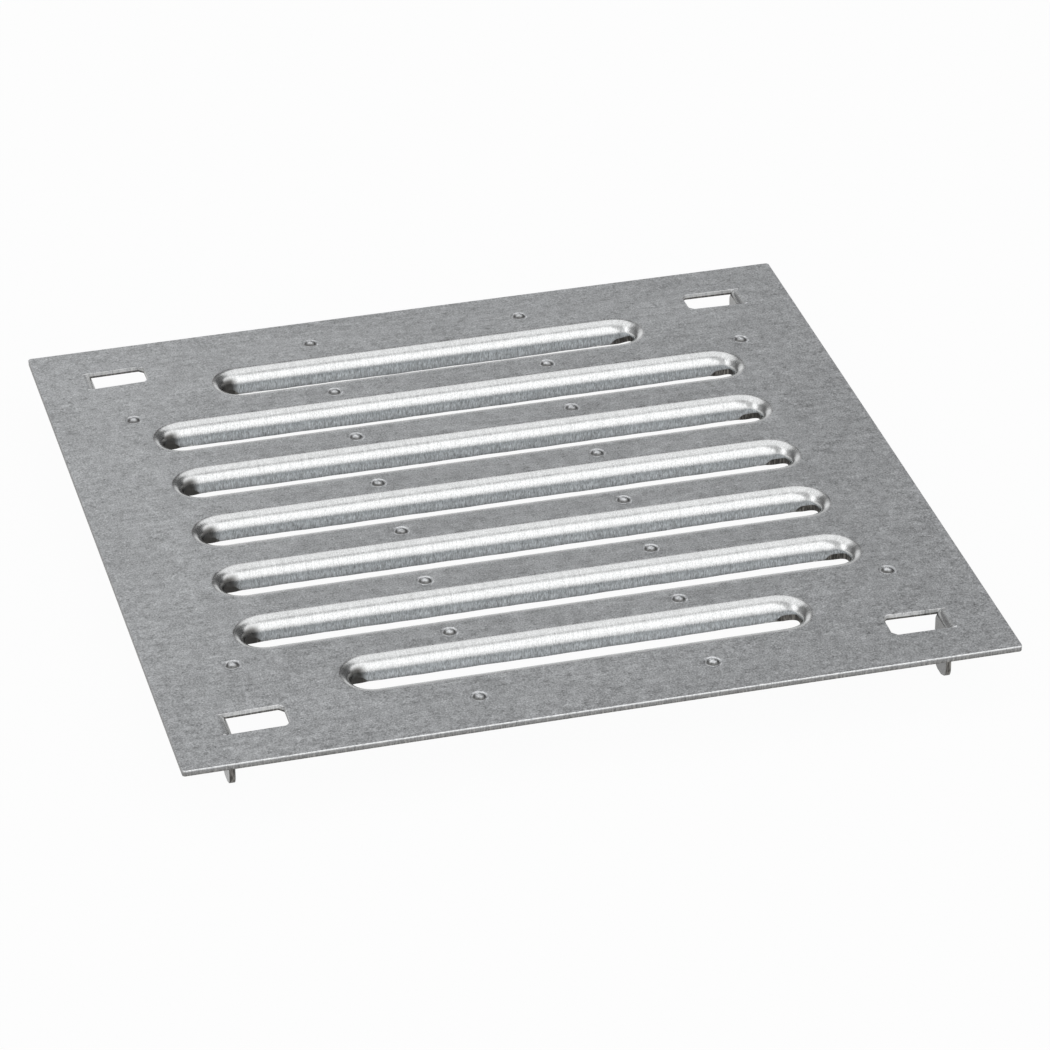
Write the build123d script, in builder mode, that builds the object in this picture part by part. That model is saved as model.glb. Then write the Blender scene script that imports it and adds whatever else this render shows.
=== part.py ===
"""Slotted drain grate, pressed from one square of galvanised sheet steel.

Seven slots are pierced and their edges drawn down into collars with rounded
ends. Four tabs are lanced near the corners and bent down to locate the grate
in its gully, and rows of small pimples are pressed up to make it slip-safe.
Millimetres, +Z up. The origin lies under the middle of the grate, on the
plane of the tab tips.
"""
import os
from math import atan2, cos, degrees, pi, sqrt

from build123d import *

# Sheet
grate_side = 200.0
sheet_thickness = 1.5
corner_radius = 0.8

# Slots: the clear opening, the roll-over round it and the collar below it
slot_count = 7
slot_pitch = 24.0
long_slot_length = 155.0
short_slot_length = 115.0
slot_clear_width = 8.4
slot_end_reach = 4.4
roll_radius = 4.0
collar_depth = 5.75
collar_end_depth = 3.1
end_rise_length = 8.0
pierced_end = 3.15
pierced_inset = 0.2

# Tabs: a lanced window and the tongue bent down out of it
tab_drop = 15.6
tab_width = 8.5
tab_bend_radius = 2.5
tab_bend_line = 88.0
tab_centre_line = 83.6
tab_shear_gap = 0.1
tab_tip_chamfer = 1.2
window_inner_edge = 72.2

# Pimples, and the pits that the punch leaves under them
pimple_diameter = 3.6
pimple_brow_diameter = 2.4
pimple_top_diameter = 1.2
pimple_brow_height = 0.55
pimple_height = 0.8
pimple_sides = 12
pit_diameter = 1.8
pit_bottom_diameter = 0.6
pit_depth = 1.0
pit_sides = 8
pimple_column = 28.0
margin_pimple_row = 88.0
side_pimple_column = 80.0
side_pimple_row = 2.5 * slot_pitch

top_level = tab_drop
under_level = top_level - sheet_thickness
collar_level = top_level - collar_depth
under_roll_radius = roll_radius - sheet_thickness

slot_rows = [slot_pitch * (i - (slot_count - 1) / 2) for i in range(slot_count)]
pimple_rows = [slot_pitch * (i - (slot_count - 2) / 2) for i in range(slot_count - 1)]
pimple_rows += [-margin_pimple_row, margin_pimple_row]
pimple_places = [(x, y) for x in (-pimple_column, pimple_column) for y in pimple_rows]
pimple_places += [
    (x * side_pimple_column, y * side_pimple_row) for x in (-1, 1) for y in (-1, 1)
]


def slot_length(row):
    """Length over a slot's roll-over: the first and last slots are the short ones."""
    outermost = abs(abs(row) - max(slot_rows)) < slot_pitch / 2
    return short_slot_length if outermost else long_slot_length


def slot_outlines(end_margin, side_margin):
    """Every slot's outline, this far outside its clear opening at the ends and the sides."""
    reach = slot_end_reach + end_margin
    half_width = slot_clear_width / 2 + side_margin
    for row in slot_rows:
        straight_half = slot_length(row) / 2 - roll_radius - slot_end_reach
        with Locations((0, row)):
            Rectangle(2 * straight_half, 2 * half_width)
        for side, turn in ((-1, 0), (1, 180)):
            with Locations((side * straight_half, row)):
                Ellipse(reach, half_width, rotation=turn)


def slot_edges(part, level):
    """Edges of the slots that lie at this level, without the sheet's own outline."""
    inside = grate_side / 2 - 1

    def lies_there(edge):
        box = edge.bounding_box()
        within = max(box.max.X, -box.min.X, box.max.Y, -box.min.Y) < inside
        return within and abs(box.min.Z - level) < 0.01 and abs(box.max.Z - level) < 0.01

    return part.edges().filter_by(lies_there)


with BuildPart() as grate:
    with BuildSketch(Plane.XY.offset(under_level)):
        RectangleRounded(grate_side, grate_side, corner_radius)
    extrude(amount=sheet_thickness)

    # Collars: a skirt one sheet thick round each clear opening. Its roll-over is round on
    # the walked-on side, and a bevel touching the same round on the underside
    with BuildSketch(Plane.XY.offset(collar_level)):
        slot_outlines(sheet_thickness, sheet_thickness)
    extrude(amount=collar_depth - sheet_thickness)
    chamfer(slot_edges(grate, under_level), under_roll_radius * (2 - sqrt(2)))
    with BuildSketch(Plane.XY.offset(collar_level)):
        slot_outlines(0, 0)
    extrude(amount=collar_depth, mode=Mode.SUBTRACT)
    fillet(slot_edges(grate, top_level), roll_radius)

    # Round the ends the collars are drawn less deep and show the pierced edge
    for row in slot_rows:
        rise_end = slot_length(row) / 2 - pierced_end
        with BuildSketch(Plane.XZ.offset(-row)):
            with BuildLine():
                rise = TangentArc(
                    (rise_end - end_rise_length, collar_level),
                    (rise_end, top_level - collar_end_depth),
                    tangent=(1, 0),
                )
                Polyline(
                    rise @ 1,
                    (rise_end + roll_radius, top_level - collar_end_depth),
                    (rise_end + roll_radius, collar_level - 1),
                    (rise_end - end_rise_length, collar_level - 1),
                    rise @ 0,
                )
            make_face()
            mirror(about=Plane.YZ)
        extrude(amount=slot_clear_width / 2 + sheet_thickness + 1, both=True, mode=Mode.SUBTRACT)
    with BuildSketch(Plane.XY.offset(collar_level)):
        slot_outlines(roll_radius - pierced_end, -pierced_inset / 2)
    extrude(amount=collar_depth, mode=Mode.SUBTRACT)

    # Windows of the four tabs
    window_length = tab_bend_line - window_inner_edge
    with BuildSketch(Plane.XY.offset(under_level)):
        with Locations((tab_bend_line - window_length / 2, tab_centre_line)):
            window = Rectangle(window_length, tab_width)
        chamfer(window.vertices().group_by(Axis.X)[0], tab_tip_chamfer)
        mirror(about=Plane.YZ)
        mirror(about=Plane.XZ)
    extrude(amount=sheet_thickness, mode=Mode.SUBTRACT)

with BuildPart() as tabs:
    bend_centre = (tab_bend_line, top_level - tab_bend_radius)
    with BuildSketch(Plane.XZ.offset(-tab_centre_line)):
        with BuildLine():
            outer_bend = CenterArc(bend_centre, tab_bend_radius, 90, 90)
            inner_bend = CenterArc(bend_centre, tab_bend_radius - sheet_thickness, 90, 90)
            Line(outer_bend @ 0, inner_bend @ 0)
            Polyline(outer_bend @ 1, ((outer_bend @ 1).X, 0), ((inner_bend @ 1).X, 0), inner_bend @ 1)
        make_face()
    extrude(amount=tab_width / 2 - tab_shear_gap, both=True)
    chamfer(tabs.edges().filter_by(Axis.X).group_by(Axis.Z)[0], tab_tip_chamfer)
    mirror(about=Plane.YZ)
    mirror(about=Plane.XZ)


def bump(rings, sides, foot):
    """A pressed bump: tapered bands between (diameter, height) rings, on a foot below the first ring."""
    with BuildPart() as pressed:
        with BuildSketch(Plane.XY.offset(-foot)):
            RegularPolygon(rings[0][0] / 2, sides)
        extrude(amount=foot)
        for (low_diameter, low), (high_diameter, high) in zip(rings, rings[1:]):
            draw_in = (low_diameter - high_diameter) / 2 * cos(pi / sides)
            with BuildSketch(Plane.XY.offset(low)):
                RegularPolygon(low_diameter / 2, sides)
            extrude(amount=high - low, taper=degrees(atan2(draw_in, high - low)))
    return pressed.part


foot = sheet_thickness / 2
pimple_rings = [
    (pimple_diameter, 0),
    (pimple_brow_diameter, pimple_brow_height),
    (pimple_top_diameter, pimple_height),
]
pimple = bump(pimple_rings, pimple_sides, foot)
pit = bump([(pit_diameter, 0), (pit_bottom_diameter, pit_depth)], pit_sides, foot)

with grate:
    add(tabs.part)
    with Locations(*[(x, y, top_level) for x, y in pimple_places]):
        add(pimple)
    with Locations(*[(x, y, under_level) for x, y in pimple_places]):
        add(pit, mode=Mode.SUBTRACT)

os.makedirs("parts", exist_ok=True)
grate.part.label = "grate"
export_step(grate.part, "parts/grate.step")
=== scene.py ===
"""Slotted drain grate of galvanised sheet steel, lying on a plain pale floor.

The sheet is meshed as it is made: a slightly crowned square with seven slots
whose edges roll over into collars, four lanced windows with the tongues bent
down out of them, and rows of pimples pressed up from below. All sizes are in
millimetres until the mesh is written.
"""
from math import acos, cos, hypot, pi, radians, sin, sqrt

import bmesh
import bpy
from mathutils import Matrix, Vector
from mathutils.geometry import delaunay_2d_cdt


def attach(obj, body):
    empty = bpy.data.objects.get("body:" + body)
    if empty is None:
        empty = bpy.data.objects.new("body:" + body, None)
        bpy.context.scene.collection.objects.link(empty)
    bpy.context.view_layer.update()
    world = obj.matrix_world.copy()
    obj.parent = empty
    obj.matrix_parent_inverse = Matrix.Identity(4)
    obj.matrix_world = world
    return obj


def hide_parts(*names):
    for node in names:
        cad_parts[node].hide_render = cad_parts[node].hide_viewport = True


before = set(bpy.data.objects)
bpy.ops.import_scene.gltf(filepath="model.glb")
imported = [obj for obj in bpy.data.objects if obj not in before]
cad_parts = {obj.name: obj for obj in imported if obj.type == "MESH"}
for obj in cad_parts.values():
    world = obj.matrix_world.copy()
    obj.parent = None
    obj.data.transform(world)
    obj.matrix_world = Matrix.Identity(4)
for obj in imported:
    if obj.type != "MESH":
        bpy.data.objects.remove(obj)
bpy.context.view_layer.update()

MM = 0.001

# The sheet
SIDE = 200.0
THICK = 1.5
CORNER = 0.8
CORNER_LEVEL = 14.5
CROWN = 1.1
CROWN_RUN = 36.0
EDGE_BOW = 0.12
RIM_ROLL = 0.22
GRID_STEPS = 48

# The slots: clear opening, roll-over, and the collar's depth along the sides and at the ends
PITCH = 24.0
ROWS = [PITCH * i for i in range(-3, 4)]
LONG_SLOT = 155.0
SHORT_SLOT = 115.0
CLEAR_HALF = 4.2
ROLL = 4.0
DEPTH = 5.75
END_DEPTH = 3.85
END_ROLL = 3.3
END_UNTURNED = 0.3
SIDE_BAND = 0.45
PIERCED_BAND = 1.7
LIP_ROUND = 0.14
STATION_STEP = 3.0
END_STEPS = 28

# The tabs and their windows
TAB_HALF = 4.15
WINDOW_HALF = 4.25
WINDOW_ROLL = 0.16
BEND = 2.5
BEND_LINE = 88.0
TAB_LINE = 83.6
WINDOW_EDGE = 72.2
WINDOW_CORNER = 1.2
TONGUE_ROUND = 2.6

# The pimples: between the slots, in the front and back margins, and at the sides
PIMPLE_HEIGHT = 0.8
PIMPLE_SKIRT = 2.3
PIMPLE_DOME = 1.3
PIMPLE_MOAT = 0.17
PIMPLE_COLUMN = 28.0
MARGIN_ROW = 88.0
SIDE_COLUMN = 80.0
SIDE_ROW = 2.5 * PITCH
PIMPLES = [(x, PITCH * (i - 2.5)) for x in (-PIMPLE_COLUMN, PIMPLE_COLUMN) for i in range(6)]
PIMPLES += [(x, y) for x in (-PIMPLE_COLUMN, PIMPLE_COLUMN) for y in (-MARGIN_ROW, MARGIN_ROW)]
PIMPLES += [(x, y) for x in (-SIDE_COLUMN, SIDE_COLUMN) for y in (-SIDE_ROW, SIDE_ROW)]
QUARTERS = [(sx, sy) for sx in (-1, 1) for sy in (-1, 1)]

# The photograph's camera, solved on the sheet's four corners; its focal length is in pixels
PHOTO_WIDTH = 1050
FOCAL_LENGTH = 4951.3
SENSOR_WIDTH = 36.0
CAMERA_AZIMUTH = -14.69
CAMERA_ELEVATION = 30.65
CAMERA_ROLL = -0.3976
CAMERA_DISTANCE = 1204.9
CAMERA_TARGET = (2.16, -15.49, CORNER_LEVEL)

BLACK = (0.0, 0.0, 0.0, 1)


def eased(share):
    """Smooth step from 0 to 1."""
    share = min(1.0, max(0.0, share))
    return share * share * (3 - 2 * share)


def sheet_level(x, y):
    """Height of the sheet's top: the field of slots stands a little proud of the corners, and the edges bow."""
    bow = EDGE_BOW * (cos(pi * x / SIDE) + cos(pi * y / SIDE))
    swell = eased((SIDE / 2 - abs(x)) / CROWN_RUN) * eased((SIDE / 2 - abs(y)) / CROWN_RUN)
    return CORNER_LEVEL + CROWN * (bow + (1 - 2 * EDGE_BOW) * swell)


def slot_length(row):
    """Length over a slot's roll-over: the first and last slots are the short ones."""
    return SHORT_SLOT if abs(row) > 2.5 * PITCH else LONG_SLOT


def straight_half(row):
    """Half the straight run of a slot, between the centres of its round ends."""
    return slot_length(row) / 2 - ROLL - CLEAR_HALF


class SheetMesh:
    """Points in millimetres, each with its finish, and the faces between them.

    drawn runs from 0 to 1 down a roll-over, on to 1.6 down a collar's wall and to 2 over its
    torn band. sheared tells where the metal is torn bare. The third finish number is painted shade:
    dark colour in the slots' end pockets, round the pimples' domes and on the tabs' bent faces.
    foot is the place from which the draw lines run down.
    """

    def __init__(self):
        self.places = []
        self.faces = []
        self.drawn = []
        self.sheared = []
        self.painted_shade = []
        self.feet = []

    def point(self, x, y, z, drawn=0.0, sheared=0.0, painted_shade=0.0, foot=None):
        self.places.append((x, y, z))
        self.drawn.append(drawn)
        self.sheared.append(sheared)
        self.painted_shade.append(painted_shade)
        self.feet.append(foot or (x, y, 0.0))
        return len(self.places) - 1

    def band(self, one, other):
        """Quads between two closed rows of as many points, facing up where the first row is outside."""
        count = len(one)
        for i in range(count):
            j = (i + 1) % count
            self.faces.append((one[i], one[j], other[j], other[i]))

    def bands(self, rows):
        for one, other in zip(rows, rows[1:]):
            self.band(one, other)

    def cap(self, row):
        self.faces.append(tuple(row))

    def to_object(self, name):
        mesh = bpy.data.meshes.new(name)
        places = [tuple(c * MM for c in place) for place in self.places]
        mesh.from_pydata(places, [], self.faces)
        for key, values in (("drawn", self.drawn), ("sheared", self.sheared), ("painted_shade", self.painted_shade)):
            mesh.attributes.new(key, "FLOAT", "POINT").data.foreach_set("value", values)
        feet = [c * MM for foot in self.feet for c in foot]
        mesh.attributes.new("foot", "FLOAT_VECTOR", "POINT").data.foreach_set("vector", feet)
        solid = bmesh.new()
        solid.from_mesh(mesh)
        bmesh.ops.remove_doubles(solid, verts=solid.verts, dist=0.002 * MM)
        solid.to_mesh(mesh)
        solid.free()
        piece = bpy.data.objects.new(name, mesh)
        bpy.context.collection.objects.link(piece)
        return piece


def slot_stations(row):
    """Round a slot, anticlockwise: the foot of each section on the centre line, and its direction out."""
    reach = straight_half(row)
    steps = round(2 * reach / STATION_STEP)
    turns = [-pi / 2 + pi * i / END_STEPS for i in range(END_STEPS)]
    stations = [(-reach + 2 * reach * i / steps, row, 0.0, -1.0) for i in range(steps)]
    stations += [(reach, row, cos(turn), sin(turn)) for turn in turns]
    stations += [(reach - 2 * reach * i / steps, row, 0.0, 1.0) for i in range(steps)]
    stations += [(-reach, row, -cos(turn), -sin(turn)) for turn in turns]
    return stations


def end_turn(row, station):
    """0 along a slot's side, and 1 where its end has turned by a third. The back rows start sooner."""
    cx, _, nx, _ = station
    lead = 3.0 + row / 36
    return 0.2 * eased(1 - (straight_half(row) - abs(cx)) / lead) + 0.8 * eased(abs(nx) / 0.5)


def painted_end_shade(nx, ny, drawn):
    """Painted shade in a slot's ends: strong dark colour in the left one's pocket, and weaker on the near side
    of the right one, for the dark crescent of its roll-over.
    """
    if nx < 0:
        return 0.95 * eased((drawn - 0.38) / 0.3) * eased(-nx / 0.5)
    return 0.42 * eased((drawn - 0.12) / 0.3) * eased((nx - 0.3) / 0.5) * eased((0.4 - ny) / 0.5)


def collar_low(row, station):
    """Drop of a collar's lower edge: slightly wavy along the sides, and less deep round the ends."""
    cx, _, nx, _ = station
    wobble = 0.05 * sin(1.9 * cx + row) + 0.04 * sin(0.63 * cx - 2 * row)
    low = DEPTH + 0.0027 * row - 0.25 * (cx / (slot_length(row) / 2)) ** 2
    low += wobble * (1 - end_turn(row, station))
    return low - (low - END_DEPTH) * max(0.0, (abs(nx) - 0.45) / 0.55) ** 2


def collar_face(low, turned, tight):
    """A collar's face, as (out, drop, drawn, sheared): roll-over, wall, torn band, and the lip's rounded edge.

    Round the ends the roll-over is tighter, and stops before it has turned all the way down.
    """
    radius = ROLL - (ROLL - END_ROLL) * tight
    last_turn = pi / 2 - END_UNTURNED * tight
    inset = ROLL - radius * sin(last_turn)
    face = []
    for k in range(15):
        turn = last_turn * k / 14
        face.append((ROLL - radius * sin(turn), radius - radius * cos(turn), turn / (pi / 2), 0.0))
    wall_top = face[-1][1]
    band_top = max(wall_top + 0.05, low - max(SIDE_BAND, PIERCED_BAND * turned))
    for k in range(1, 4):
        face.append((inset, wall_top + (band_top - wall_top) * k / 3, 1 + 0.6 * k / 3, 0.0))
    bare = min(1.0, turned * 2.2)
    for k in range(3):
        drop = band_top + 0.1 + (low - LIP_ROUND - band_top - 0.1) * k / 2
        face.append((inset + 0.03 * bare, drop, 1.6 + 0.2 * k, bare))
    return face + [(inset + 0.04, low - 0.04, 1.0, 1.0), (inset + LIP_ROUND, low, 1.0, 1.0)]


def collar_back(low):
    """A collar's back, one sheet thickness behind its face: from the lip up and round to the underside."""
    under = ROLL - THICK
    start = low - 0.15
    back = THICK if start >= ROLL else ROLL - sqrt(under**2 - (ROLL - start) ** 2)
    section = [(back - 0.1, low, 1.0, 1.0), (back - 0.01, low - 0.06, 1.0, 0.5)]
    arc = under * acos(min(1.0, max(0.0, (ROLL - start) / under)))
    straight = max(0.0, start - ROLL)
    for k in range(11):
        left = (straight + arc) * (1 - k / 10)
        if left > arc:
            section.append((THICK, ROLL + left - arc, 1.0, 0.0))
        else:
            turn = left / under
            section.append((ROLL - under * sin(turn), ROLL - under * cos(turn), turn / (pi / 2), 0.0))
    return section


def slot_section(row, station):
    """One section of the rolled-over collar, from the sheet's top down, round its lip and up its back."""
    cx, cy, nx, ny = station
    level = sheet_level(cx + nx * (CLEAR_HALF + ROLL), cy + ny * (CLEAR_HALF + ROLL))
    low = collar_low(row, station)
    section = collar_face(low, end_turn(row, station), eased((abs(nx) - 0.2) / 0.6)) + collar_back(low)
    foot = (cx + nx * CLEAR_HALF, cy + ny * CLEAR_HALF, 0.0)
    points = []
    for out, drop, drawn, sheared in section:
        x = cx + nx * (CLEAR_HALF + out)
        y = cy + ny * (CLEAR_HALF + out)
        points.append((x, y, level - drop, drawn, sheared, painted_end_shade(nx, ny, drawn), foot))
    return points


def slot_outline(row, margin=0.0):
    reach = CLEAR_HALF + ROLL + margin
    return [(cx + nx * reach, cy + ny * reach) for cx, cy, nx, ny in slot_stations(row)]


def window_outline(sx, sy, margin=0.0):
    """A window's outline, anticlockwise as seen from above: three sheared sides and the bend line."""
    inner = WINDOW_EDGE - margin
    half = WINDOW_HALF + margin
    cut = WINDOW_CORNER + margin * 0.4
    corners = [(BEND_LINE, -half), (BEND_LINE, half), (inner + cut, half), (inner, half - cut)]
    corners += [(inner, cut - half), (inner + cut, -half)]
    outline = []
    for (ax, ay), (bx, by) in zip(corners, corners[1:] + corners[:1]):
        steps = max(1, round(hypot(bx - ax, by - ay) / 2.6))
        outline += [(ax + (bx - ax) * i / steps, ay + (by - ay) * i / steps) for i in range(steps)]
    outline = [(sx * x, sy * (y + TAB_LINE)) for x, y in outline]
    return outline if sx * sy > 0 else outline[::-1]


def rim_outline(inset=0.0):
    """The sheet's outline, anticlockwise, with its small corner rounds."""
    half = SIDE / 2 - CORNER
    radius = CORNER - inset
    outline = []
    for quarter in range(4):
        turn = quarter * pi / 2
        centre = Matrix.Rotation(turn, 2) @ Vector((half, half))
        for i in range(7):
            angle = turn + i * pi / 12
            outline.append((centre.x + radius * cos(angle), centre.y + radius * sin(angle)))
        following = Matrix.Rotation(turn + pi / 2, 2) @ Vector((half, half))
        angle = turn + pi / 2
        outward = Vector((cos(angle), sin(angle))) * radius
        start, end = centre + outward, following + outward
        outline += [tuple(start.lerp(end, i / 50)) for i in range(1, 50)]
    return outline


def pimple_outline(x, y, radius=PIMPLE_SKIRT):
    return [(x + radius * cos(i * pi / 12), y + radius * sin(i * pi / 12)) for i in range(24)]


def inside(outline, x, y):
    """Even-odd test of a point against a closed outline."""
    within = False
    for (ax, ay), (bx, by) in zip(outline, outline[1:] + outline[:1]):
        if (ay > y) != (by > y) and x < (bx - ax) * (y - ay) / (by - ay) + ax:
            within = not within
    return within


def boxed(outline):
    """An outline behind its own bounds, so that most points are told apart at once."""
    xs = [x for x, y in outline]
    ys = [y for x, y in outline]
    return min(xs), max(xs), min(ys), max(ys), outline


def in_any(boxes, x, y):
    return any(a < x < b and c < y < d and inside(outline, x, y) for a, b, c, d, outline in boxes)


def hole_outlines(slot_margin, window_margin, pimple_margin):
    """Outlines of all that breaks the flat sheet, each this far outside its own edge."""
    outlines = [slot_outline(row, slot_margin) for row in ROWS]
    outlines += [window_outline(sx, sy, window_margin) for sx, sy in QUARTERS]
    return outlines + [pimple_outline(x, y, PIMPLE_SKIRT + pimple_margin) for x, y in PIMPLES]


def fill_sheet():
    """Triangles of the sheet between its rim and its holes, as places and faces."""
    holes = hole_outlines(0.0, WINDOW_ROLL, 0.0)
    places = []
    edges = []
    for outline in [rim_outline(RIM_ROLL)] + holes:
        start = len(places)
        count = len(outline)
        places += [Vector(place) for place in outline]
        edges += [(start + i, start + (i + 1) % count) for i in range(count)]
    keep_out = [boxed(outline) for outline in hole_outlines(1.2, 1.4, 1.0)]
    for i in range(1, GRID_STEPS):
        for j in range(1, GRID_STEPS):
            x = SIDE * (i / GRID_STEPS - 0.5)
            y = SIDE * (j / GRID_STEPS - 0.5)
            if not in_any(keep_out, x, y):
                places.append(Vector((x, y)))
    made = delaunay_2d_cdt(places, edges, [], 0, 1e-5)
    hole_boxes = [boxed(outline) for outline in holes]
    faces = []
    for face in made[2]:
        one, two, three = (made[0][i] for i in face)
        middle = (one + two + three) / 3
        empty = abs((two - one).cross(three - one)) < 0.001
        if not empty and not in_any(hole_boxes, middle.x, middle.y):
            faces.append(face)
    return made[0], faces


def lay_sheet(sheet):
    """The flat of the sheet, top and underside."""
    flat, triangles = fill_sheet()
    top = [sheet.point(p.x, p.y, sheet_level(p.x, p.y)) for p in flat]
    under = [sheet.point(p.x, p.y, sheet_level(p.x, p.y) - THICK) for p in flat]
    for face in triangles:
        sheet.faces.append(tuple(top[i] for i in face))
        sheet.faces.append(tuple(under[i] for i in reversed(face)))


def draw_collars(sheet):
    for row in ROWS:
        sections = [slot_section(row, station) for station in slot_stations(row)]
        rings = [[sheet.point(*section[k]) for section in sections] for k in range(len(sections[0]))]
        sheet.bands(rings)


def shear_rim(sheet):
    """The rim's edge, as (inset, drop, sheared): a polished burr line on top, and torn below it.

    On the left and right edges the burr line is torn as well.
    """
    profile = [(RIM_ROLL, 0.0, 0.0), (0.105, 0.022, 0.12), (0.03, 0.09, 0.12), (0.0, 0.24, 0.12)]
    profile += [(0.0, 0.42, 0.62), (0.02, 1.0, 0.68), (0.03, 1.38, 0.8), (0.06, 1.47, 0.8)]
    profile += [(RIM_ROLL, 1.5, 0.0)]
    rings = []
    for inset, drop, sheared in profile:
        ring = []
        for x, y in rim_outline(inset):
            torn = max(sheared, 0.5) if drop > 0 and abs(x) > abs(y) else sheared
            ring.append(sheet.point(x, y, sheet_level(x, y) - drop, 0.0, torn))
        rings.append(ring)
    sheet.bands(rings[::-1])


def shear_windows(sheet):
    """The windows' walls, as (margin, drop, sheared): a burnished share and a thin torn one below it."""
    profile = [(WINDOW_ROLL, 0.0, 0.0), (0.06, 0.02, 0.1), (0.0, 0.14, 0.15), (0.0, 0.9, 0.1)]
    profile += [(0.01, 1.0, 0.8), (0.02, 1.4, 1.0), (0.06, 1.48, 0.8), (WINDOW_ROLL, 1.5, 0.0)]
    for sx, sy in QUARTERS:
        rings = []
        for margin, drop, sheared in profile:
            ring = window_outline(sx, sy, margin)
            rings.append([sheet.point(x, y, sheet_level(x, y) - drop, 0.0, sheared) for x, y in ring])
        sheet.bands(rings)


def pimple_rise(radius):
    """How far a pimple stands above the sheet: a small dome in a shallow ring left by the die."""
    if radius >= PIMPLE_DOME:
        return -PIMPLE_MOAT * sin(pi * (PIMPLE_SKIRT - radius) / (PIMPLE_SKIRT - PIMPLE_DOME)) ** 2
    return PIMPLE_HEIGHT * (1 - (radius / PIMPLE_DOME) ** 2) ** 0.75


def press_pimples(sheet):
    """The pimples, and the pits that the punch leaves under them."""
    radii = [PIMPLE_SKIRT, 2.2, 2.08, 1.94, 1.8, 1.66, 1.52, 1.4]
    radii += [PIMPLE_DOME, 1.26, 1.18, 1.06, 0.9, 0.7, 0.45, 0.2]
    for px, py in PIMPLES:
        rings = []
        for radius in radii:
            lift = pimple_rise(radius)
            # Painted shade: a dark ring round the foot of the dome and over the moat
            painted_shade_level = 0.85 * eased((radius - 0.85) / 0.3) * eased((1.75 - radius) / 0.35)
            ring = pimple_outline(px, py, radius)
            rings.append([sheet.point(x, y, sheet_level(x, y) + lift, 0.0, 0.0, painted_shade_level) for x, y in ring])
        sheet.bands(rings)
        sheet.cap(rings[-1])
        rings = []
        for radius in radii:
            lift = 0.75 * max(0.0, pimple_rise(radius * 1.2))
            ring = pimple_outline(px, py, radius)
            rings.append([sheet.point(x, y, sheet_level(x, y) - THICK + lift) for x, y in ring])
        sheet.bands([ring[::-1] for ring in rings])
        sheet.cap(rings[-1][::-1])


def tongue_run():
    """A tongue's way down, as (x, z, tx, tz, bent): round the bend and straight to the tip.

    (tx, tz) points from the face into the sheet.
    """
    root = sheet_level(BEND_LINE, TAB_LINE)
    run = []
    for k in range(13):
        turn = pi / 2 * k / 12
        run.append((BEND_LINE - BEND * sin(turn), root - BEND + BEND * cos(turn), sin(turn), -cos(turn), k / 12))
    shaft = root - BEND - TONGUE_ROUND
    levels = [TONGUE_ROUND + shaft * (1 - share) for share in (0.12, 0.28, 0.46, 0.64, 0.8)]
    levels += [TONGUE_ROUND * cos(pi / 2 * k / 6) for k in range(7)]
    return run + [(BEND_LINE - BEND, z, 1.0, 0.0, 1.0) for z in levels]


def tongue_loop(half):
    """A tongue's section, as (y, depth, sheared): a smooth face and back between two torn edges."""
    edge = [(half - 0.14, 0.02, 0.1), (half - 0.04, 0.08, 0.3), (half, 0.25, 1.0), (half, 0.8, 1.0)]
    edge += [(half, 1.4, 1.0), (half - 0.04, 1.48, 0.8), (half - 0.14, 1.5, 0.0)]
    face = [(0.3 - half, 0.0, 0.0), (-half * 0.5, 0.0, 0.0), (half * 0.5, 0.0, 0.0), (half - 0.3, 0.0, 0.0)]
    back = [(half * 0.5, 1.5, 0.0), (-half * 0.5, 1.5, 0.0)]
    return face + edge + back + [(-y, depth, sheared) for y, depth, sheared in reversed(edge)]


def bend_tab(sheet, sx, sy):
    """A tongue of the sheet, bent down on the bend line, with torn sides and a rounded tip."""
    root = sheet_level(BEND_LINE, TAB_LINE)
    rings = []
    for x, z, tx, tz, bent in tongue_run():
        half = TAB_HALF
        if z < TONGUE_ROUND:
            half -= TONGUE_ROUND - sqrt(max(0.0, TONGUE_ROUND**2 - (TONGUE_ROUND - z) ** 2))
        ring = []
        for y, depth, sheared in tongue_loop(half):
            world_y = sy * (TAB_LINE + y)
            lift = (sheet_level(BEND_LINE, world_y) - root) * (1 - bent)
            # Painted shade on the tongue's face, which turns under the sheet as it is bent down
            painted_shade_level = 0.5 * bent if depth < 0.1 else 0.0
            place = (sx * (x + tx * depth), world_y, z + tz * depth + lift)
            ring.append(sheet.point(*place, 0.3 * bent, sheared, painted_shade_level))
        rings.append(ring if sx * sy > 0 else ring[::-1])
    sheet.bands(rings)
    sheet.cap(rings[0][::-1])
    sheet.cap(rings[-1])


class Wire:
    """A number in a finish: Python's operators on it add Math nodes."""

    def __init__(self, finish, socket):
        self.finish = finish
        self.socket = socket

    def math(self, operation, *numbers):
        node = self.finish.node("ShaderNodeMath", {"operation": operation}, dict(enumerate((self, *numbers))))
        return Wire(self.finish, node.outputs[0])

    def __add__(self, other):
        return self.math("ADD", other)

    __radd__ = __add__

    def __sub__(self, other):
        return self.math("SUBTRACT", other)

    def __rsub__(self, other):
        return (self * -1) + other

    def __mul__(self, other):
        return self.math("MULTIPLY", other)

    __rmul__ = __mul__

    def __truediv__(self, other):
        return self.math("DIVIDE", other)

    def __pow__(self, power):
        return self.math("POWER", power)

    def above(self, start, end):
        """0 below start, 1 above end, and smooth in between."""
        settings = {"interpolation_type": "SMOOTHSTEP"}
        sockets = {"Value": self, "From Min": start, "From Max": end}
        return Wire(self.finish, self.finish.node("ShaderNodeMapRange", settings, sockets).outputs["Result"])

    def held(self):
        """The number kept between 0 and 1."""
        return self.math("MAXIMUM", 0.0).math("MINIMUM", 1.0)


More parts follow.
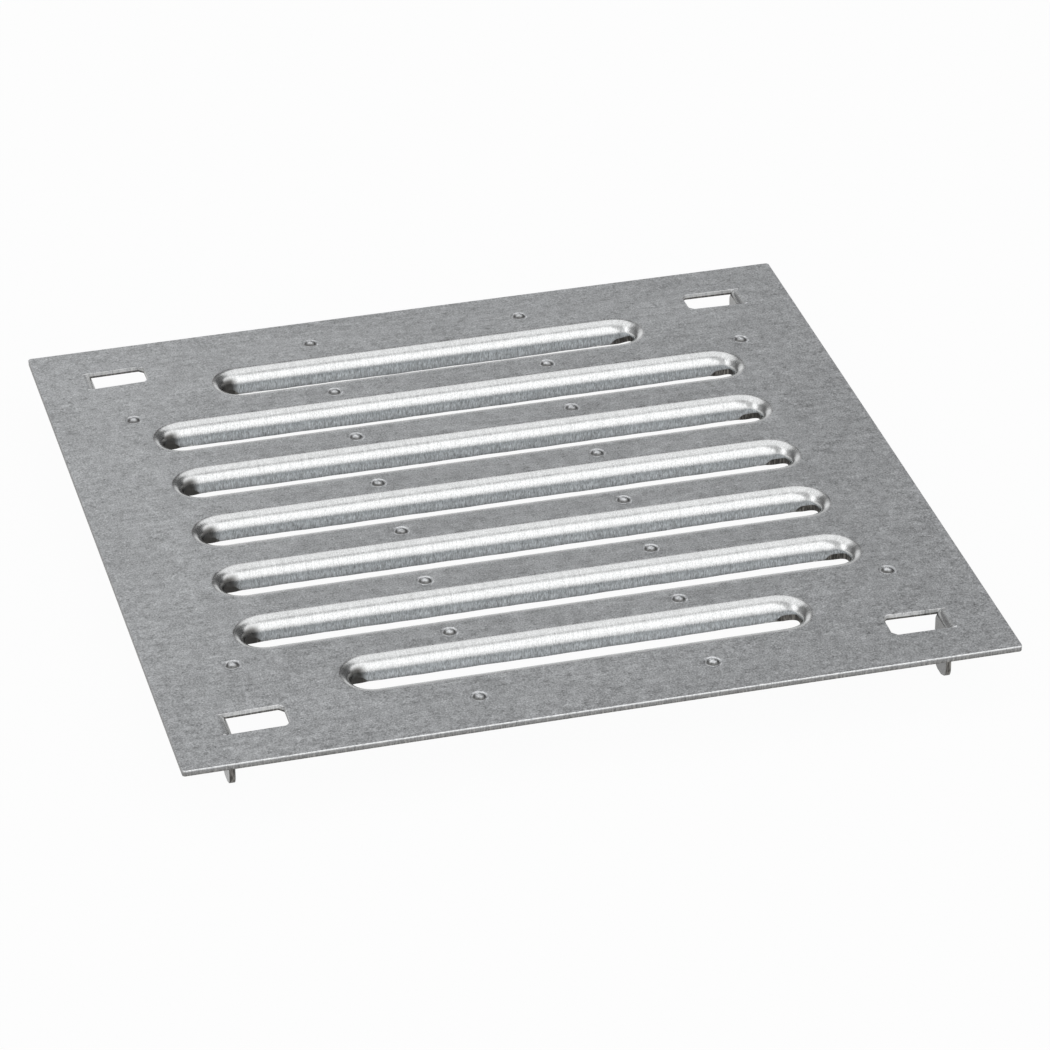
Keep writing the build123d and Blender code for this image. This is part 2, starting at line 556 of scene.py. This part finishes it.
class Finish:
    """A node tree of a material or the world, built from empty."""

    def __init__(self, owner):
        owner.use_nodes = True
        self.tree = owner.node_tree
        self.tree.nodes.clear()

    def node(self, kind, settings=None, sockets=None):
        made = self.tree.nodes.new(kind)
        for key, value in (settings or {}).items():
            setattr(made, key, value)
        for key, value in (sockets or {}).items():
            socket = made.inputs[key]
            if isinstance(value, Wire):
                value = value.socket
            if isinstance(value, bpy.types.NodeSocket):
                self.tree.links.new(value, socket)
            else:
                socket.default_value = value
        return made

    def attribute(self, name, output="Fac"):
        made = self.node("ShaderNodeAttribute", {"attribute_type": "GEOMETRY", "attribute_name": name})
        return Wire(self, made.outputs[output])

    def noise(self, place, scale, detail=2.0, roughness=0.5):
        """Noise round 0.5."""
        sockets = {"Vector": place, "Scale": scale, "Detail": detail, "Roughness": roughness}
        return Wire(self, self.node("ShaderNodeTexNoise", {}, sockets).outputs["Fac"])

    def streaks(self, place, scales, detail, roughness):
        """Noise with a scale of its own along each axis."""
        scaled = self.node("ShaderNodeVectorMath", {"operation": "MULTIPLY"}, {0: place, 1: scales})
        return self.noise(Wire(self, scaled.outputs[0]), 1.0, detail, roughness)

    def blend(self, factor, one, other):
        """One colour where the factor is 0, the other where it is 1. 6 and 7 are the Mix node's colours."""
        sockets = {"Factor": factor, 6: one, 7: other}
        return Wire(self, self.node("ShaderNodeMix", {"data_type": "RGBA"}, sockets).outputs[2])


def galvanised_steel():
    """Dull zinc with a fine grain, burnished where the tool drew it, dark and torn where it was sheared; painted
    shade darkens the collars' walls, the slots' ends, rings round the pimples and the tabs' faces.
    """
    steel = bpy.data.materials.new("galvanised_steel")
    finish = Finish(steel)
    place = Wire(finish, finish.node("ShaderNodeTexCoord").outputs["Object"])
    drawn = finish.attribute("drawn")
    sheared = finish.attribute("sheared")
    painted_shade = finish.attribute("painted_shade")
    foot = finish.attribute("foot", "Vector")

    # Scales are in waves per metre
    grain = finish.noise(place, 2500.0, 2.0, 0.7)
    mottle = finish.noise(place, 420.0, 3.0, 0.65)
    cloud = finish.noise(place, 45.0, 2.0, 0.5)
    rolling = finish.streaks(place, (90.0, 700.0, 200.0), 3.0, 0.6)
    specks = finish.streaks(place, (700.0, 1100.0, 900.0), 1.0, 0.4).above(0.62, 0.72)
    draw_lines = finish.streaks(foot, (1900.0, 1900.0, 0.0), 2.0, 0.7)
    scores = finish.streaks(place, (3000.0, 3000.0, 900.0), 2.0, 0.7)
    tears = finish.streaks(place, (1500.0, 1500.0, 220.0), 2.0, 0.7)
    burnished = drawn.above(0.01, 0.12)
    wall = drawn.above(0.7, 0.95)

    # The plain zinc of the flat
    bright = 0.635 + (grain - 0.5) * 1.1 + (mottle - 0.5) * 0.42 + (rolling - 0.5) * 0.26
    bright = bright + (cloud - 0.5) * 0.12 - specks * 0.13
    shade = finish.blend(bright.held(), BLACK, (1.0, 1.01, 1.02, 1))

    # The roll-overs and the collars' walls, scored by the tool, with painted shade darkening the walls towards
    # their lower edge
    rubbed_and_wall_shade = 0.68 + (draw_lines - 0.5) * 0.25 + (mottle - 0.5) * 0.2 + (grain - 0.5) * 0.25
    rubbed_and_wall_shade = rubbed_and_wall_shade + (scores - 0.5) * (0.4 + wall * 1.1)
    # Painted shade: the walls darker towards their lower edge and over the torn band
    rubbed_and_wall_shade = rubbed_and_wall_shade * (1 - drawn.above(1.1, 1.6) * 0.2 - drawn.above(1.5, 1.7) * 0.25)
    tint = finish.blend(wall, (1.0, 1.0, 0.99, 1), (0.95, 1.0, 1.03, 1))
    shade = finish.blend(burnished * 0.9, shade, finish.blend(rubbed_and_wall_shade.held(), BLACK, tint))

    # Cut edges: a polished share where sheared is near 0.1, torn steel above 0.2, and painted shade over all
    polished = sheared.above(0.04, 0.1) * (1 - sheared.above(0.16, 0.3)) * tears.above(0.3, 0.6)
    shade = finish.blend(polished * 0.8, shade, (0.95, 0.95, 0.94, 1))
    bare = finish.blend(tears.above(0.42, 0.72), (0.06, 0.054, 0.047, 1), (0.38, 0.36, 0.33, 1))
    shade = finish.blend(sheared.above(0.2, 1.0) * 0.92, shade, bare)
    # Painted shade: dark colour standing in for the shade in the slots' end pockets, round the pimples' domes
    # and on the tabs' bent faces
    shade = finish.blend(painted_shade * (0.75 + mottle * 0.5), shade, (0.09, 0.087, 0.082, 1))

    roughness = 0.39 + (grain - 0.5) * 0.2 + (mottle - 0.5) * 0.16
    roughness = roughness - burnished * 0.18 + wall * 0.2 + sheared * 0.15
    relief = (grain - 0.5) * 0.6 + (mottle - 0.5) * 0.7 + (rolling - 0.5) * 0.6
    relief = relief * (1 - burnished * 0.5) + (draw_lines - 0.5) * burnished * 0.9
    relief = relief + (tears - 0.5) * sheared * 2 + (scores - 0.5) * burnished * (0.3 + wall)
    bump = finish.node("ShaderNodeBump", {}, {"Strength": 0.35, "Distance": 0.06 * MM, "Height": relief})
    sockets = {"Base Color": shade, "Metallic": 1.0, "Roughness": roughness.held(), "Normal": bump.outputs[0]}
    shader = finish.node("ShaderNodeBsdfPrincipled", {}, sockets)
    finish.node("ShaderNodeOutputMaterial", {}, {"Surface": shader.outputs[0]})
    return steel


def press_grate():
    """The whole sheet as one piece, with its finish, on the frame's own node."""
    sheet = SheetMesh()
    lay_sheet(sheet)
    draw_collars(sheet)
    shear_rim(sheet)
    shear_windows(sheet)
    press_pimples(sheet)
    for sx, sy in QUARTERS:
        bend_tab(sheet, sx, sy)
    grate = sheet.to_object("grate_sheet")
    grate.data.materials.append(galvanised_steel())
    grate.data.shade_smooth()
    grate.data.set_sharp_from_angle(angle=radians(50))
    even = grate.modifiers.new("even shading", "WEIGHTED_NORMAL")
    even.keep_sharp = True
    even.weight = 50
    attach(grate, "root")
    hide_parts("grate")


def lay_floor():
    """A plain white floor that keeps a soft shadow of the grate, a hair below the tabs' tips."""
    mesh = bpy.data.meshes.new("floor")
    reach = 4.0
    corners = [(-reach, -reach, 0), (reach, -reach, 0), (reach, reach, 0), (-reach, reach, 0)]
    mesh.from_pydata(corners, [], [(0, 1, 2, 3)])
    floor = bpy.data.objects.new("floor", mesh)
    bpy.context.collection.objects.link(floor)
    floor.location.z = -0.05 * MM
    paint = bpy.data.materials.new("white_floor")
    finish = Finish(paint)
    matt = finish.node("ShaderNodeBsdfDiffuse", {}, {"Color": (0.6, 0.6, 0.6, 1)})
    glow = finish.node("ShaderNodeEmission", {}, {"Color": (1, 1, 1, 1), "Strength": 1.0})
    path = finish.node("ShaderNodeLightPath")
    seen = Wire(finish, path.outputs["Is Camera Ray"]) + Wire(finish, path.outputs["Is Glossy Ray"]) * 0.4
    seen = (seen + Wire(finish, path.outputs["Is Transmission Ray"])).held()
    mixed = finish.node("ShaderNodeMixShader", {}, {0: seen * 0.96, 1: matt.outputs[0], 2: glow.outputs[0]})
    finish.node("ShaderNodeOutputMaterial", {}, {"Surface": mixed.outputs[0]})
    mesh.materials.append(paint)


def light_studio():
    """A soft studio round the grate, laid out in degrees from the zenith: to the right, and to the back."""
    world = bpy.data.worlds.new("studio")
    bpy.context.scene.world = world
    finish = Finish(world)
    direction = finish.node("ShaderNodeTexCoord").outputs["Generated"]
    parts = finish.node("ShaderNodeSeparateXYZ", {}, {0: direction})
    x, y, z = (Wire(finish, parts.outputs[i]) for i in range(3))
    fall = z.math("ARCCOSINE") * (180 / pi)
    level_reach = (x * x + y * y + 0.0001) ** 0.5
    right = fall * x / level_reach
    back = fall * y / level_reach
    left = right * -1
    front = back * -1

    # Grey walls, dimmer on the right, with a dark gap behind and a bright sweep low behind it
    walls = 0.26 + left.above(30, 65) * 0.22 - right.above(14, 34) * 0.14 + front.above(-30, 5) * 0.4
    walls = walls * (1 - back.above(36, 45) * right.above(3, 11) * left.above(-28, -19) * 0.75)
    sweep = back.above(55, 68) * right.above(-26, -8) * left.above(-50, -30)
    walls = walls + sweep * (0.9 - right.above(2, 10) * left.above(-34, -24) * 0.35)

    # A wide bright ceiling over the middle and the back, with a curved far edge
    ceiling = right.above(-54, -40) * left.above(-38, -24) * back.above(-15, -5)
    ceiling = ceiling * (1 - (back + right * right * 0.011).above(36, 48))
    level = walls + ceiling * (1.15 - walls)

    # A long light box across the front and right, and a small lamp on the left
    long_box = (front + right * 0.72 - 26).above(-2, 14) * (1 - fall.above(55, 84) * 0.62)
    level = level + long_box * (1.5 - level)
    lamp = (left - 62) * (left - 62) + (back - 3) * (back - 3)
    level = level + (1 - lamp.above(120, 620)) * 0.8
    glow = finish.node("ShaderNodeBackground", {}, {"Color": (0.98, 0.99, 1.0, 1), "Strength": level})
    finish.node("ShaderNodeOutputWorld", {}, {"Surface": glow.outputs[0]})


def stand_camera():
    """The camera of the photograph: a long lens, to the left of the front and a third of the way up."""
    data = bpy.data.cameras.new("camera")
    data.sensor_fit = "HORIZONTAL"
    data.sensor_width = SENSOR_WIDTH
    data.lens = SENSOR_WIDTH * FOCAL_LENGTH / PHOTO_WIDTH
    data.clip_start = 0.05
    camera = bpy.data.objects.new("camera", data)
    bpy.context.collection.objects.link(camera)
    azimuth, elevation, roll = radians(CAMERA_AZIMUTH), radians(CAMERA_ELEVATION), radians(CAMERA_ROLL)
    back = Vector((sin(azimuth) * cos(elevation), -cos(azimuth) * cos(elevation), sin(elevation)))
    across = Vector((0, 0, 1)).cross(back).normalized()
    up = back.cross(across)
    right = across * cos(roll) + up * sin(roll)
    upright = up * cos(roll) - across * sin(roll)
    turn = Matrix((right, upright, back)).transposed().to_4x4()
    stand = (Vector(CAMERA_TARGET) + back * CAMERA_DISTANCE) * MM
    camera.matrix_world = Matrix.Translation(stand) @ turn
    bpy.context.scene.camera = camera


press_grate()
lay_floor()
light_studio()
stand_camera()
bpy.context.scene.view_settings.view_transform = "Standard"
